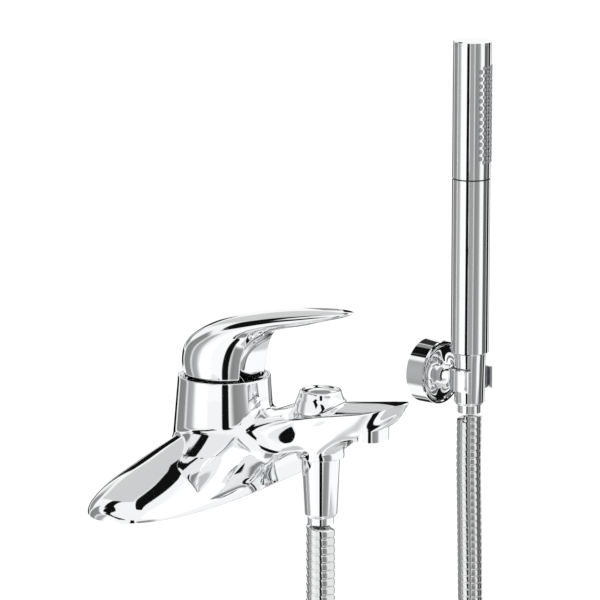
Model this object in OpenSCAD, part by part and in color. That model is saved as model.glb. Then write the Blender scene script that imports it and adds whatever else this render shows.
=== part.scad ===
// Deck mounted bath and shower mixer with a stick handset, its hose and a wall holder.
// The origin is on the deck, under the axis of the cartridge. +Z is up and -Y is the spout's side.
// The mixer stands on Z = 0, and the hose hangs below it in front of the deck.

/* [Body] */
// Distance between the centres of the two tap holes
hole_pitch = 180; // [170:1:190]
// Length of the body along the wall
body_l = 243; // [240:1:250]
// Depth of the body on the deck
body_w = 72; // [70:1:78]
// How far the middle of the body's foot lies towards the wall
foot_y = -3; // [-4:0.5:0]
// Radius of the cartridge housing at its top
housing_r = 24.4; // [24.2:0.1:26]
// Height of the housing's rim
rim_z = 51; // [50:0.5:53]
// Radius inside the rim
rim_in_r = 23; // [22.8:0.1:23.4]
// Wall radius of the threaded water inlets, G3/4
inlet_r = 12.05; // [12:0.05:12.1]
// Depth of the threaded water inlets
inlet_depth = 6.5; // [6:0.5:6.5]

/* [Spout] */
// Reach of the spout from the cartridge axis
spout_reach = 108.5; // [106:0.5:112]
// Distance of the diverter and the hose outlet from the cartridge axis
diverter_y = 57.5; // [56:0.5:59]
// Distance of the aerator from the cartridge axis
aerator_y = 86; // [85:0.5:88]
// Height of the aerator's lower end
aerator_z = 27; // [26:0.5:28]
// Radius of the hose outlet's boss
boss_r = 12.4; // [12.2:0.1:13]
// Height of the lower end of the boss
boss_z = 13.7; // [13:0.1:15]

/* [Lever] */
// Height of the pin that the lever lifts about
pivot_z = 54; // [53.5:0.5:54.5]
// Radius of the lever's skirt at its lower edge
skirt_r = 20.6; // [20:0.1:21]
// Height of the skirt's lower edge
skirt_z = 49; // [48.5:0.5:50]
// How far the lever's tip reaches from the cartridge axis
lever_reach = 76; // [74:0.5:80]

/* [Diverter] */
// Radius of the diverter knob's top
knob_top_r = 10.8; // [10:0.1:12]
// Radius of the diverter knob's skirt
knob_foot_r = 13.5; // [13:0.1:14]
// Height of the knob's top
knob_z = 49.4; // [49:0.1:50]
// How far the diverter knob pulls up
knob_travel = 6; // [5:0.5:6]

/* [Hose] */
// Outer radius of the interlocked metal hose
hose_r = 7.5; // [7:0.1:7.8]
// Length of the conical connector at each end of the hose
cone_l = 32; // [30:0.5:34]

/* [Handset] */
// Outer radius of the handset
handset_r = 11.55; // [11.4:0.05:12]
// Height of the handset's lower edge
handset_z = -8.5; // [-9:0.5:-8]
// Height of the joint between the handle and the spray head
joint_z = 97.5; // [96:0.5:99]
// Height of the handset's top
handset_top = 180; // [178:0.5:182]
// Rows in each outer column of nozzles
nozzle_rows = 13; // [11:1:14]
// Distance between the rows of nozzles
nozzle_pitch = 4.33; // [4.3:0.01:4.6]
// Angle between the columns of nozzles
nozzle_step = 12; // [12:0.5:12.5]

/* [Holder] */
// Place of the handset's axis along the wall
holder_x = 341.5; // [300:0.5:345]
// Place of the handset's axis in front of the wall
holder_y = 27.5; // [20:0.5:30]
// Height of the middle of the holder
holder_z = -24.5; // [-26:0.5:-23]
// Angle that the holder is turned on its wall
holder_turn = 12; // [0:1:15]
// Distance from the handset's axis to the wall
wall_gap = 33.4; // [33:0.1:35]
// Radius of the round wall cover
cover_r = 19.35; // [19:0.05:20]
// Depth of the round wall cover
cover_d = 12.4; // [12:0.1:13]
// Height of the clip that holds the handset
clip_h = 13.2; // [12:0.2:14]

/* [Hidden] */
$fn = 72;

chrome = "#d5d8db";
brass = "#c8a24a";
white_plastic = "#e9e9e4";
grey_plastic = "#7d8285";
black_rubber = "#2a2a2b";
grey_rubber = "#8b8e90";
ceramic = "#f1efe6";
steel = "#aeb2b6";

// A running fit's gap on the radius, and the gap between pieces of one body
run = 0.05;
gap = 0.1;
// Cartridge: its radius, the height of its foot, of its shoulder and of its neck's top
cart_r = 17.3;
cart_z = 13;
cart_shoulder = 41;
neck_r = 11.5;
neck_top = 58.5;
stem_w = 8;
// Water ways in the arms: their radius, and where each starts above its inlet and ends under the cartridge
way_r = 3.2;
way_top = [84, 0, 10];
way_foot = [9, 3, 7.5];
// Height and radius of the seat of the washer above each inlet
washer_z = 8;
washer_r = 11;
// The lever's front: how far back its hollow lies, and the plug's height
front_hollow_y = -15.5;
front_hollow_r = 24;
plug_z = 58.3;
screw_tip = [0, -stem_w / 2 - 0.1, 66.3];
screw_mouth = [0, front_hollow_y + 0.8, plug_z];
stem_boss_z = 63.5;
// The deck gasket's two rings around the inlets: inner and outer radius, and height
gasket = [15.5, 18.5, 2];
// Diverter: its seat, its chamber and its bush
seat_z = 25;
chamber_r = 8.5;
bush_z = 35;
spindle_r = 3;
spout_top = 41.5;
// Threaded spigot of a hose connector, G1/2
spigot_r = 10.4;
spigot_l = 7.5;
cone_bore = 4.5;
ferrule_l = 4;
cap_l = 2;
nozzle_z = 136.5;
nozzle_cols = 7;

// The hose's route, from the mixer's connector to the handset's
route = [
    [0, -57.5, -22], [0, -57.5, -40], [0, -57.5, -60], [-1, -57.5, -110], [-4, -58, -170], [-6, -58, -235],
    [-4, -57, -300], [7, -54, -365], [34, -47, -430], [76, -37, -486], [128, -25, -520],
    [180, -12, -530], [232, 1, -518], [281, 12, -482], [318, 21, -427], [339, 26, -365],
    [347, 28, -300], [348, 28.5, -235], [346, 28, -170], [343, 27.5, -115], [341.5, 27.5, -80],
    [341.5, 27.5, -62], [341.5, 27.5, -45.5]];
// The route's side, square to the plane that the loop hangs in
route_side = [-85, 341.5, 0] / norm([-85, 341.5, 0]);

// Half the arms' outline seen from the front, and the exponents of their section and of their foot
arch_half = [[0, 30.5], [30, 26.2], [50, 23], [70, 18.7], [90, 14.6], [105, 11], [115, 8], [body_l / 2 - 0.8, 4.5],
    [body_l / 2, 0]];
arm_curve = 1.8;
foot_curve = 2.5;
// The spout's outline seen from the side, as distances from the cartridge axis
spout_side = [[15, 34], [33, 39.5], [45, 41], [60, 42], [84, 45.3], [102, 47.3], [spout_reach, 47.4],
    [104, 40.8], [100, 36], [96, 33], [91, 30.5], [aerator_y - 3, aerator_z + 1],
    [76, 25], [71, 20], [45, 14], [36, 10], [15, 5]];
// Half the spout's outline seen from above, as distance from the axis and half width
spout_half = [[12, 22], [24, 20.5], [36, 18], [48, 16.2], [60, 15], [76, 14.6], [90, 13.6], [100, 10.5],
    [106, 5.5], [spout_reach, 0]];
// The lever's outline seen from the side: over the top from the skirt's back to the tip, and back under it
lever_top = [[22.3, 58], [21.8, 63], [18.7, 69.4], [11.8, 75.3], [4, 79.9], [-7.5, 83.9], [-22.8, 87.2],
    [-38, 89.7], [-53, 91.2], [-64.3, 92], [-lever_reach + 1, 92]];
lever_under = [[-lever_reach, 91], [-lever_reach + 2, 89.5], [-60, 85.8], [-45.6, 82], [-34, 78.8],
    [-27, 74], [-23.3, 66], [-22.3, 58]];
// Half the lever's outline seen from above
lever_half = [[-22.3, 0], [-21, 7.5], [-15.8, 15.8], [-7.5, 21], [0, 22.3], [10, 21.8], [20, 20], [35, 16.5],
    [50, 12.8], [62, 9.8], [70, 7], [74.5, 3.5], [lever_reach + 0.3, 0]];
// Half the lever's outline seen from the front
dome_half = [[0, 96], [12, 93], [17, 88], [20, 80], [21.6, 70], [22.3, 60], [skirt_r + 0.6, 53],
    [skirt_r, skirt_z]];
// The dish and neck of the holder, as radius and distance from the handset's axis
dish = [[0, 9], [5.6, 9], [5.6, 13], [6.2, 16], [8, 19], [10.5, 20.8], [13.2, 21.6], [15.5, 21.6],
    [16.6, 21.2], [17.3, 21.4], [17.3, 24.4], [10, 24.4], [10, 29], [8.1, 29], [8.1, 23], [0, 23]];

// Points of a smooth curve through p, with n steps between two of them
function blend4(a, b, c, d, t) = 0.5 * (2 * b + (c - a) * t + (2 * a - 5 * b + 4 * c - d) * t * t
    + (3 * b - a - 3 * c + d) * t * t * t);
function smooth(p, n) = [
    for (i = [0:len(p) - 2], k = [0:n - 1])
        blend4(p[max(i - 1, 0)], p[i], p[i + 1], p[min(i + 2, len(p) - 1)], k / n),
    p[len(p) - 1]];
function reversed(p) = [for (i = [len(p) - 1:-1:0]) p[i]];
function mirrored(p) = [for (q = p) [-q[0], q[1]]];
// A closed outline from its right half, whose points are [half width, height]
function both_halves(p) = concat(p, reversed(mirrored(p)));
function superellipse(a, b, e, n) = [
    for (i = [0:n - 1]) let (c = cos(360 * i / n), s = sin(360 * i / n))
        [a * sign(c) * pow(abs(c), 2 / e), b * sign(s) * pow(abs(s), 2 / e)]];
function unit(v) = v / norm(v);
// A point on the water way of one arm (s is -1 or 1), at the share f of its length
function way_at(s, f) = let (p = way_top + (way_foot - way_top) * f) [s * p[0], p[1], p[2]];
// The body's foot on the deck, drawn in by d
function foot(d) = superellipse(body_l / 2 - d, body_w / 2 - d, foot_curve, 96);
// The ring of points round a path's point i, square to the path
function ring_at(path, i, r, sides, side) =
    let (t = unit(path[min(i + 1, len(path) - 1)] - path[max(i - 1, 0)]),
        u = unit(cross(t, side)), v = cross(u, t))
    [for (k = [0:sides - 1]) path[i] + r * (cos(360 * k / sides) * u + sin(360 * k / sides) * v)];

module tube(path, r, sides, side) {
    rings = [for (i = [0:len(path) - 1]) each ring_at(path, i, r, sides, side)];
    last = (len(path) - 1) * sides;
    walls = [
        for (i = [0:len(path) - 2], k = [0:sides - 1])
            let (a = i * sides + k, b = i * sides + (k + 1) % sides)
            [a, b, b + sides, a + sides]];
    ends = [[for (k = [sides - 1:-1:0]) k], [for (k = [0:sides - 1]) last + k]];
    polyhedron(rings, concat(walls, ends), convexity = 8);
}

module rod(r, z0, z1) {
    translate([0, 0, z0]) cylinder(r = r, h = z1 - z0);
}

module cone(r0, r1, z0, z1) {
    translate([0, 0, z0]) cylinder(r1 = r0, r2 = r1, h = z1 - z0);
}

module ring(r_in, r_out, z0, z1) {
    difference() {
        rod(r_out, z0, z1);
        rod(r_in, z0 - 1, z1 + 1);
    }
}

// A bar along X, from x0 to x1, at the height z
module bar_x(r, x0, x1, z) {
    translate([x0, 0, z]) rotate([0, 90, 0]) cylinder(r = r, h = x1 - x0);
}

// A hole along a straight line between two points
module drill(r, p, q) {
    v = q - p;
    translate(p) rotate([0, acos(v[2] / norm(v)), atan2(v[1], v[0])]) cylinder(r = r, h = norm(v));
}

// An outline of [distance to the front, height] made thick across the middle plane
module side_slab(p, half_width) {
    rotate([90, 0, 90]) translate([0, 0, -half_width]) linear_extrude(2 * half_width) polygon(p);
}

module at_diverter() { translate([0, -diverter_y, 0]) children(); }
module at_aerator() { translate([0, -aerator_y, 0]) children(); }
module at_handset() { translate([holder_x, holder_y, 0]) children(); }
module at_holder() { translate([holder_x, holder_y, holder_z]) rotate([0, 0, -holder_turn]) children(); }
// Turns a shape made round Z so that its axis points at the wall
module to_wall() { rotate([-90, 0, 0]) children(); }

// The two arms: one shape seen from above, from the front and from the side
module arms() intersection() {
    translate([0, foot_y, 0]) linear_extrude(arch_half[0][1] + 1) polygon(foot(0));
    rotate([90, 0, 0]) translate([0, 0, -60]) linear_extrude(120) polygon(both_halves(smooth(arch_half, 3)));
    rotate([90, 0, 90]) translate([foot_y, 0, -body_l]) linear_extrude(2 * body_l)
        polygon(superellipse(body_w / 2 + 0.1, arch_half[0][1], arm_curve, 72));
}

module body_outside() {
    arms();
    rotate_extrude() polygon([[0, 0], [27, 0], [27, 24], [26, 30], [25.2, 36], [housing_r, rim_z], [0, rim_z]]);
    intersection() {
        side_slab([for (q = spout_side) [-q[0], q[1]]], 32);
        half = smooth(spout_half, 4);
        linear_extrude(60) rotate(-90) polygon(concat(half, [for (q = reversed(half)) [q[0], -q[1]]]));
    }
    at_diverter() {
        rod(boss_r, boss_z, 38);
        cone(boss_r, boss_r + 2.5, 19, 27);
    }
}

module mixer_body() color(chrome) difference() {
    body_outside();
    rod(cart_r + 0.4, cart_z, rim_z + 1);
    rod(rim_in_r, 36, rim_z + 1);
    // The water ways from the two inlets to the cartridge's ports
    for (s = [-1, 1]) {
        translate([s * hole_pitch / 2, 0, 0]) rod(inlet_r, -1, inlet_depth);
        translate([s * hole_pitch / 2, 0, 0]) rod(washer_r, inlet_depth - 1, washer_z);
        translate([s * hole_pitch / 2, 0, 0]) rod(6, washer_z - 1, washer_z + 2.5);
        drill(way_r, way_at(s, 0), way_at(s, 1));
        translate([s * way_foot[0], way_foot[1], 0]) rod(3, way_foot[2], cart_z + 1);
    }
    for (s = [-1, 1]) translate([s * hole_pitch / 2, 0, 0]) ring(gasket[0] - gap, gasket[1] + gap, -1, gasket[2]);
    // Mixed water to the diverter
    translate([0, -10, 0]) rod(3.5, 8, cart_z + 1);
    drill(4, [0, -9, 9], [0, -diverter_y, 29]);
    at_diverter() {
        rod(spigot_r + run, boss_z - 1, boss_z + 9.3);
        rod(5.5, boss_z + 9, seat_z);
        rod(chamber_r, seat_z, bush_z + 1);
        rod(9.5, bush_z, spout_top + 8);
        rod(knob_foot_r + 0.5, spout_top - 0.5, spout_top + 8);
    }
    drill(3.2, [0, -diverter_y - 5, 32], [0, -aerator_y + 5, 32]);
    at_aerator() rod(10.5, aerator_z - 3, 36);
}

module deck_gasket() color(black_rubber)
    for (s = [-1, 1]) translate([s * hole_pitch / 2, 0, 0]) ring(gasket[0], gasket[1], 0, gasket[2] - gap);

module inlet_washers() color(black_rubber)
    for (s = [-1, 1]) translate([s * hole_pitch / 2, 0, 0]) ring(8, washer_r - run, inlet_depth, washer_z);

module inlet_screens() color(steel)
    for (s = [-1, 1]) translate([s * hole_pitch / 2, 0, 0]) difference() {
        rod(7.9, inlet_depth, inlet_depth + 0.8);
        for (a = [0:60:300]) rotate(a) translate([4.5, 0, 0]) rod(1.2, inlet_depth - 1, inlet_depth + 2);
        rod(1.2, inlet_depth - 1, inlet_depth + 2);
    }

// A non-return valve that lies in one arm's water way
module check_valve(s) {
    difference() {
        drill(way_r - run, way_at(s, 0.3), way_at(s, 0.5));
        drill(2.3, way_at(s, 0.28), way_at(s, 0.47));
        drill(1.1, way_at(s, 0.45), way_at(s, 0.52));
    }
    drill(1, way_at(s, 0.33), way_at(s, 0.475));
}

module check_valve_hot() color(white_plastic) check_valve(-1);
module check_valve_cold() color(white_plastic) check_valve(1);

module ports(r, z0, z1) {
    for (s = [-1, 1]) translate([s * way_foot[0], way_foot[1], 0]) rod(r, z0, z1);
    translate([0, -10, 0]) rod(r + 0.5, z0, z1);
}

module cartridge_port_seal() color(black_rubber) difference() {
    ports(4.2, cart_z, cart_z + 1.2);
    ports(2.8, cart_z - 1, cart_z + 2);
}

module cartridge_base() color(white_plastic) difference() {
    union() {
        rod(cart_r, cart_z + 1.2, cart_z + 6);
        rod(14.9, cart_z + 6, cart_z + 8);
    }
    ports(2.8, cart_z, cart_z + 9);
}

module fixed_ceramic_disc() color(ceramic) difference() {
    rod(14.9, cart_z + 8, cart_z + 12);
    ports(2.8, cart_z + 7, cart_z + 13);
}

module moving_ceramic_disc() color(ceramic) difference() {
    rod(10.6, cart_z + 12.1, cart_z + 16);
    translate([0, -2, 0]) rod(6, cart_z + 11, cart_z + 14);
}

module disc_slider() color(grey_plastic) difference() {
    union() {
        rod(10.6, cart_z + 16.1, cart_z + 20.8);
        translate([-4.4, -4.2, cart_z + 20]) cube([8.8, 8.4, 11.5]);
    }
    translate([-3.1, -3.1, cart_z + 25.5]) cube([6.2, 6.2, 9]);
}

module cartridge_shell() color(white_plastic) difference() {
    union() {
        rod(cart_r, cart_z + 6.1, cart_shoulder - 5);
        rod(cart_r - 1.8, cart_shoulder - 6, cart_shoulder);
        rod(neck_r, cart_shoulder - 1, neck_top);
    }
    rod(15.4, cart_z + 5, cart_shoulder - 7);
    rod(neck_r - 2, cart_shoulder - 8, neck_top + 1);
}

// The rotor that carries the lever's pin. A long slot lets the stem rock in it.
module cartridge_carrier() color(grey_plastic) difference() {
    rod(neck_r - 2 - run, cart_z + 21.8, neck_top - 0.5);
    translate([-stem_w / 2 - 0.3, -7.2, cart_z + 33]) cube([stem_w + 0.6, 14.4, 30]);
    translate([-6.2, -11, cart_z + 20]) cube([12.4, 22, 14]);
    bar_x(2 + run, -7.5, 7.5, pivot_z);
}

module pivot_pin() color(steel) bar_x(2, -7.5, 7.5, pivot_z);

module cartridge_stem() color(steel) difference() {
    union() {
        translate([-stem_w / 2, -stem_w / 2, pivot_z - 8]) cube([stem_w, stem_w, 26]);
        rod(2.2, pivot_z - 12, pivot_z - 7);
        translate([0, 0, pivot_z - 12]) sphere(r = 3);
    }
    bar_x(2 + run, -6, 6, pivot_z);
}

module cartridge_nut() color(brass) difference() {
    union() {
        rod(rim_in_r - run, cart_shoulder - 4.8, cart_shoulder - 0.4);
        rod(18.6, cart_shoulder - 0.5, cart_shoulder + 0.6);
    }
    rod(cart_r - 1.8 + run, cart_shoulder - 6, cart_shoulder + 0.1);
    rod(neck_r + 0.3, cart_shoulder, cart_shoulder + 3);
    for (a = [45:90:315]) rotate(a) translate([21.5, 0, 0]) rod(1.4, cart_shoulder - 3, cart_shoulder + 3);
}

module lever_outside() {
    half = smooth(lever_half, 3);
    side = concat([[22.3, skirt_z]], smooth(lever_top, 2), smooth(lever_under, 2), [[-22.3, skirt_z]]);
    intersection() {
        side_slab(side, 26);
        translate([0, 0, 40]) linear_extrude(60) rotate(-90)
            polygon(concat(half, [for (q = reversed(half)) [q[0], -q[1]]]));
        rotate([90, 0, 0]) translate([0, 0, -40]) linear_extrude(130) polygon(both_halves(dome_half));
        // The skirt draws in towards its lower edge, so that it can rock inside the rim
        union() {
            cone(skirt_r, 22.3, skirt_z, 58);
            translate([-30, -90, 58]) cube([60, 120, 40]);
        }
    }
}

module lever() color(chrome) difference() {
    lever_outside();
    // The upright hollow in front of the skirt
    translate([0, front_hollow_y - front_hollow_r, 0]) rod(front_hollow_r, skirt_z - 1, 74);
    difference() {
        intersection() {
            union() {
                cone(skirt_r - 2, 19.2, skirt_z - 1, 62);
                cone(19.2, 11, 62, 71);
            }
            translate([-30, front_hollow_y + 2.5, skirt_z - 2]) cube([60, 60, 60]);
        }
        rod(8, stem_boss_z, 80);
    }
    translate([-stem_w / 2 - run, -stem_w / 2 - run, 60]) cube([stem_w + 2 * run, stem_w + 2 * run, 12.2]);
    // The fixing screw's slanted hole, and the plug's seat in front
    drill(2.5, screw_tip, screw_mouth);
    drill(2.9, [0, front_hollow_y + 1.2, plug_z], [0, front_hollow_y - 5, plug_z]);
}

module lever_screw() color(steel) {
    along = unit(screw_mouth - screw_tip);
    drill(0.9, screw_tip + along * 0.8, screw_tip + along * 2.1);
    difference() {
        drill(2.45, screw_tip + along * 2, screw_tip + along * 6.5);
        drill(1.2, screw_tip + along * 4.5, screw_tip + along * 8);
    }
}

module lever_plug() color(grey_plastic)
    drill(2.85, [0, front_hollow_y + 1.1, plug_z], [0, front_hollow_y + 0.1, plug_z]);

module diverter_knob() color(chrome) at_diverter() difference() {
    rotate_extrude() polygon([[0, 44], [knob_foot_r, spout_top], [knob_foot_r, spout_top + 0.8],
        [12.2, 44.4], [knob_top_r, knob_z - 1.2], [knob_top_r, knob_z - 0.4], [knob_top_r - 0.4, knob_z],
        [knob_top_r - 1.2, knob_z], [knob_top_r - 2, knob_z - 0.7], [0, knob_z - 1.3]]);
    cone(12.3, 9.2, spout_top - 0.1, 45.8);
    rod(2.2, 45, 47.4);
}

module diverter_spindle() color(brass) at_diverter() {
    rod(spindle_r, seat_z + 1.3, 45.8);
    rod(2.15, 45.7, 47.3);
}

module diverter_bush() color(brass) at_diverter() difference() {
    union() {
        rod(9.45, bush_z, spout_top - 0.6);
        rod(6.4, spout_top - 1, 44.6);
    }
    rod(spindle_r + run, bush_z - 1, 46);
    rod(6.2, bush_z - 1, 38.6);
    rod(4.6, 40.6, 42.6);
}

module diverter_oring() color(black_rubber) at_diverter() ring(spindle_r + run, 4.55, 40.7, 42.5);

module diverter_spring() color(steel) at_diverter() {
    turns = 5;
    wire = 0.4;
    low = seat_z + 4.1 + wire;
    high = 38.6 - wire;
    tube([for (i = [0:turns * 14]) let (a = 360 * i / 14, f = i / (turns * 14))
        [4.9 * cos(a), 4.9 * sin(a), low + (high - low) * f]], wire, 6, [0, 0, 1]);
}

module diverter_disc() color(brass) at_diverter() ring(spindle_r, 7.6, seat_z + 1.3, seat_z + 3.9);
module diverter_seal() color(black_rubber) at_diverter() rod(7.4, seat_z, seat_z + 1.3);

module aerator_ring() color(chrome) at_aerator() difference() {
    rod(10.4, aerator_z - 0.4, 35);
    rod(8.4, aerator_z + 1, 36);
    rod(7.6, aerator_z - 2, aerator_z + 2);
}

module aerator_insert() color(grey_plastic) at_aerator() difference() {
    rod(8.3, aerator_z + 1, 34);
    for (x = [-5:2.5:5], y = [-5:2.5:5]) if (norm([x, y]) < 6.5)
        translate([x - 0.9, y - 0.9, aerator_z]) cube([1.8, 1.8, 3.5]);
}

module aerator_washer() color(black_rubber) at_aerator() ring(6.5, 10.3, 35, 36);

// A hose connector whose thread points up, with its shoulder at the height z
module hose_cone(z, r_top, r_low) {
    difference() {
        union() {
            rod(spigot_r, z, z + spigot_l);
            cone(r_low + 0.8, r_top, z - cone_l + 1.2, z);
            cone(r_low, r_low + 0.8, z - cone_l, z - cone_l + 1.2);
        }
        rod(cone_bore, z - cone_l - 1, z + spigot_l + 1);
        rod(6.2, z + spigot_l - 6, z + spigot_l + 1);
    }
}

module outlet_washer() color(black_rubber) at_diverter() ring(5.6, spigot_r, boss_z + spigot_l + 0.1, boss_z + 9.3);

module outlet_check_valve() color(white_plastic) at_diverter() difference() {
    rod(6.15, boss_z + spigot_l - 6, boss_z + spigot_l);
    for (a = [0:90:270]) rotate(a) translate([3, 0, 0]) rod(1.5, boss_z, boss_z + 9);
}

module hose_cone_mixer() color(chrome) at_diverter() hose_cone(boss_z, 10.25, 7.9);
module hose_ferrule_mixer() color(chrome) at_diverter() ring(cone_bore, 7.1, boss_z - cone_l - ferrule_l + 0.3, boss_z - cone_l);

module hose() color(chrome) tube(smooth(route, 2), hose_r, 10, route_side);

module hose_cone_handset() color(chrome) at_handset() hose_cone(handset_z, 9.8, 8.3);
module hose_ferrule_handset() color(chrome) at_handset()
    ring(cone_bore, 7.1, handset_z - cone_l - ferrule_l - 1, handset_z - cone_l - gap);

module handset_washer() color(black_rubber) at_handset() ring(5, 10.2, handset_z + spigot_l, handset_z + spigot_l + 2);

module handset_flow_limiter() color(white_plastic) at_handset() difference() {
    rod(9.2, handset_z + spigot_l + 2, handset_z + spigot_l + 6);
    rod(2, handset_z, handset_z + 20);
}

module handset_handle() color(chrome) at_handset() difference() {
    union() {
        cone(handset_r - 0.5, handset_r, handset_z, handset_z + 0.5);
        rod(handset_r, handset_z + 0.5, joint_z - 0.4);
    }
    rod(spigot_r + run, handset_z - 1, joint_z + 1);
}

module handset_joint_ring() color(black_rubber) at_handset() ring(9.7, 11.2, joint_z - 0.4, joint_z + 0.4);

module handset_tube() color(white_plastic) at_handset()
    ring(7.8, 9.4, handset_z + spigot_l + 6, nozzle_z - 36);

// Places children at each nozzle, pointing out along +X turned to face -Y
module each_nozzle() {
    for (c = [0:nozzle_cols - 1]) {
        rows = nozzle_rows + c % 2;
        for (k = [0:rows - 1])
            translate([0, 0, nozzle_z + (k - (rows - 1) / 2) * nozzle_pitch])
                rotate([0, 90, -90 + (c - (nozzle_cols - 1) / 2) * nozzle_step]) children();
    }
}

module handset_head() color(chrome) at_handset() difference() {
    ring(handset_r - 1.3, handset_r, joint_z + 0.4, handset_top - cap_l);
    each_nozzle() translate([0, 0, 8]) cylinder(r = 1.3, h = 6, $fn = 16);
}

module nozzle_plate() color(grey_rubber) at_handset() {
    difference() {
        ring(8.4, handset_r - 1.4, nozzle_z - 33, nozzle_z + 33);
        for (a = [48, 132]) rotate(a) translate([0, 0, nozzle_z - 40]) cube([20, 40, 80]);
        translate([-20, 0, nozzle_z - 40]) cube([40, 20, 80]);
    }
    each_nozzle() translate([0, 0, handset_r - 2.2]) cylinder(r = 1.1, h = 2.5, $fn = 16);
}

module handset_cap() color(chrome) at_handset() {
    rod(handset_r, handset_top - cap_l + 0.2, handset_top - 0.5);
    cone(handset_r, handset_r - 0.5, handset_top - 0.5, handset_top);
    rod(handset_r - 1.4, handset_top - cap_l - 3, handset_top - cap_l + 0.2);
}

module handset_cap_seal() color(black_rubber) at_handset()
    ring(8, handset_r - 1.4, handset_top - cap_l - 4.6, handset_top - cap_l - 3.1);

module wall_cover() color(chrome) at_holder() difference() {
    to_wall() rotate_extrude() polygon([[17.4, wall_gap - cover_d + 0.4], [17.8, wall_gap - cover_d],
        [18.9, wall_gap - cover_d], [cover_r, wall_gap - cover_d + 0.5], [cover_r, wall_gap],
        [17.4, wall_gap]]);
    translate([0, 27, -30]) rod(2.05, 0, 22);
}

module wall_plate() color(brass) at_holder() to_wall() difference() {
    union() {
        rod(17.3, wall_gap - 3, wall_gap);
        rod(8, 23.2, wall_gap - 2);
    }
    for (s = [-1, 1]) translate([s * 12.5, 0, 0]) rod(2.25, wall_gap - 4, wall_gap + 1);
}

module wall_cover_screw() color(steel) at_holder() translate([0, 27, 0]) difference() {
    rod(2, -18.5, -8.1);
    rod(1, -19, -16.5);
}

module clip_wedge() {
    // The open side of the clip, towards the room
    open = 49;
    linear_extrude(60, center = true)
        polygon([[0, 0], [-40 * sin(open), -40 * cos(open)], [0, -60], [40 * sin(open), -40 * cos(open)]]);
}

module holder_arm() color(chrome) at_holder() {
    difference() {
        union() {
            cylinder(r = 12.7, h = clip_h, center = true);
            to_wall() rotate_extrude() polygon(dish);
        }
        cylinder(r = 10.75, h = 40, center = true);
        clip_wedge();
        translate([0, 27, -30]) rod(2.05, 0, 22);
    }
    // The rolled lips at the ends of the two arms
    for (s = [-1, 1]) rotate(s * 47) translate([0, -13.1, 0]) cylinder(r = 1.5, h = clip_h, center = true);
}

module clip_liner() color(grey_plastic) at_holder() difference() {
    translate([0, 0, -clip_h / 2]) cylinder(r = 10.7, h = clip_h);
    translate([0, 0, -clip_h / 2 - 0.5]) cylinder(r1 = 9.5, r2 = 9.95, h = clip_h + 1);
    clip_wedge();
}

mixer_body();
deck_gasket();
inlet_washers();
inlet_screens();
check_valve_hot();
check_valve_cold();
cartridge_base();
cartridge_port_seal();
fixed_ceramic_disc();
moving_ceramic_disc();
disc_slider();
cartridge_shell();
cartridge_carrier();
pivot_pin();
cartridge_stem();
cartridge_nut();
lever();
lever_screw();
lever_plug();
diverter_knob();
diverter_spindle();
diverter_bush();
diverter_oring();
diverter_spring();
diverter_disc();
diverter_seal();
aerator_ring();
aerator_insert();
aerator_washer();
outlet_washer();
outlet_check_valve();
hose_cone_mixer();
hose_ferrule_mixer();
hose();
hose_ferrule_handset();
hose_cone_handset();
handset_washer();
handset_flow_limiter();
handset_handle();
handset_joint_ring();
handset_tube();
handset_head();
nozzle_plate();
handset_cap();
handset_cap_seal();
wall_cover();
wall_plate();
wall_cover_screw();
holder_arm();
clip_liner();
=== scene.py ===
import math

import bmesh
import bpy
from mathutils import Matrix, Vector
from mathutils.bvhtree import BVHTree


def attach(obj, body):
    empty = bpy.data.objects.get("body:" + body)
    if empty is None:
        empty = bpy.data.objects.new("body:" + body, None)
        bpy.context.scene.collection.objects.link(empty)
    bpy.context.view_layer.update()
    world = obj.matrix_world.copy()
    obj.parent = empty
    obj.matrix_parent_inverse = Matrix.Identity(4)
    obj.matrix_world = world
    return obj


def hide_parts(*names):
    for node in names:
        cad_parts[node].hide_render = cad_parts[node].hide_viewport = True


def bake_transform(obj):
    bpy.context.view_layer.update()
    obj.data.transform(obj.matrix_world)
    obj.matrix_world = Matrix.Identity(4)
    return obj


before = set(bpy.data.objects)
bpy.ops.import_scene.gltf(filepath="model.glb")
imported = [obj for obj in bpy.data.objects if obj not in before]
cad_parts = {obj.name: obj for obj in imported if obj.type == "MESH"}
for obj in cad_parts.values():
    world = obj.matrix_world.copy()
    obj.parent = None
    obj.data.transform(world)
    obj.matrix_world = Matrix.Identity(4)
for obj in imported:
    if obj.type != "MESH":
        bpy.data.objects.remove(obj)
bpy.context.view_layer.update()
bpy.ops.object.select_all(action="DESELECT")
MM = 0.001

# ---------------------------------------------------------------------------------------------------
# Camera: a long lens to the left of the spout and a little above it. The standard view keeps the room white
# and the flags black.
bpy.ops.object.camera_add(location=(-1.8541, -1.0731, 0.5537),
                          rotation=(math.radians(77.8), 0, math.radians(-61)))
camera = bpy.context.object
camera.data.lens = 252
camera.data.sensor_width = 36
camera.data.clip_end = 50
bpy.context.scene.camera = camera
bpy.context.scene.view_settings.view_transform = "Standard"


# ---------------------------------------------------------------------------------------------------
# Studio: an all white room with black flags, which draw the dark bands that polished chrome lives on.
def linear(colour, alpha=1.0):
    """A colour given as sRGB hex, such as "d5d8db", in the linear values that the nodes take."""
    parts = [int(colour[i:i + 2], 16) / 255 for i in (0, 2, 4)]
    return [p / 12.92 if p < 0.04045 else ((p + 0.055) / 1.055) ** 2.4 for p in parts] + [alpha]


def add_node(tree, kind, settings=None, links=None):
    """Adds a node to a tree, sets its sockets and properties by name, and links its inputs."""
    made = tree.nodes.new(kind)
    for name, value in (settings or {}).items():
        if name in made.inputs:
            made.inputs[name].default_value = value
        else:
            setattr(made, name, value)
    for name, output in (links or {}).items():
        tree.links.new(output, made.inputs[name])
    return made


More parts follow.
